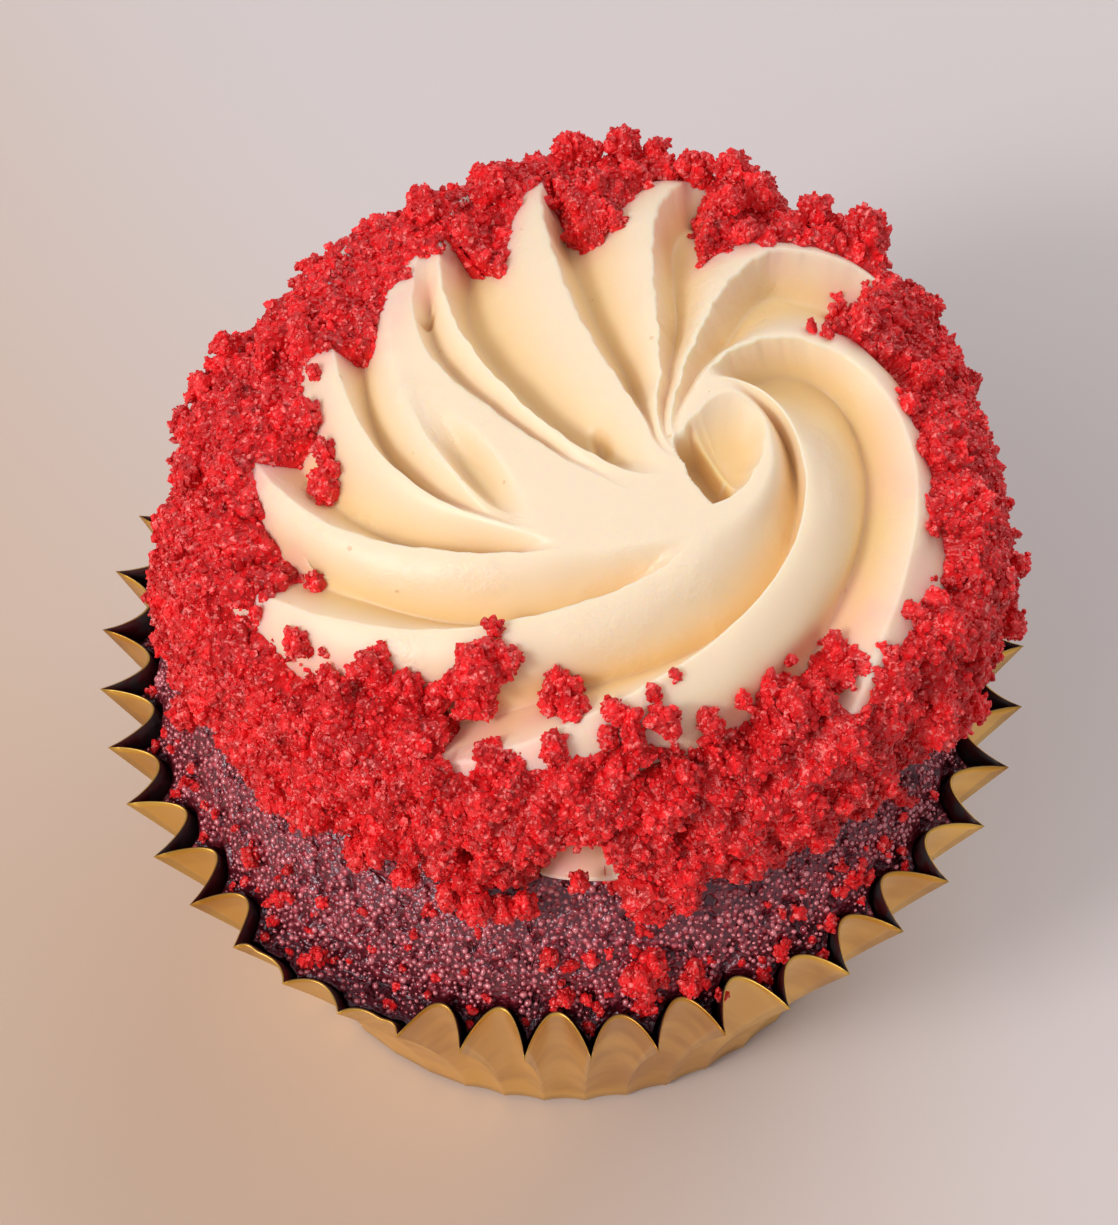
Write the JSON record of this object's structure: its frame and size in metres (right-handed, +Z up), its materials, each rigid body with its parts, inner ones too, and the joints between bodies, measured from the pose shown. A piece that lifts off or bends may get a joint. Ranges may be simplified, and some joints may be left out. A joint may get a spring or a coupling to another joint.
{
  "type": "cupcake",
  "caption": "Cupcake in a fluted foil case: dark red domed sponge, a low piped cream swirl with spiral ridges and an off-centre pit, its sides rolled in red cake crumbs.",
  "frame": {"origin": "centre of the flat base of the case", "axes": "+Z up; -Y towards the viewer, +X to the viewer's right"},
  "size_m": [0.072, 0.0718, 0.0592],
  "materials": {
    "foil": "gold foil outside, dark grease-stained foil inside",
    "sponge": "dark red baked sponge with open pores and a moist sheen",
    "frosting": "smooth cream, softly glossy, with bright red cake crumbs round the side",
    "crumbs": "bright red cake crumbs, rough and porous"
  },
  "bodies": {
    "root": {"case": "foil", "cake": "sponge", "frosting": "frosting"}
  },
  "joints": []
}
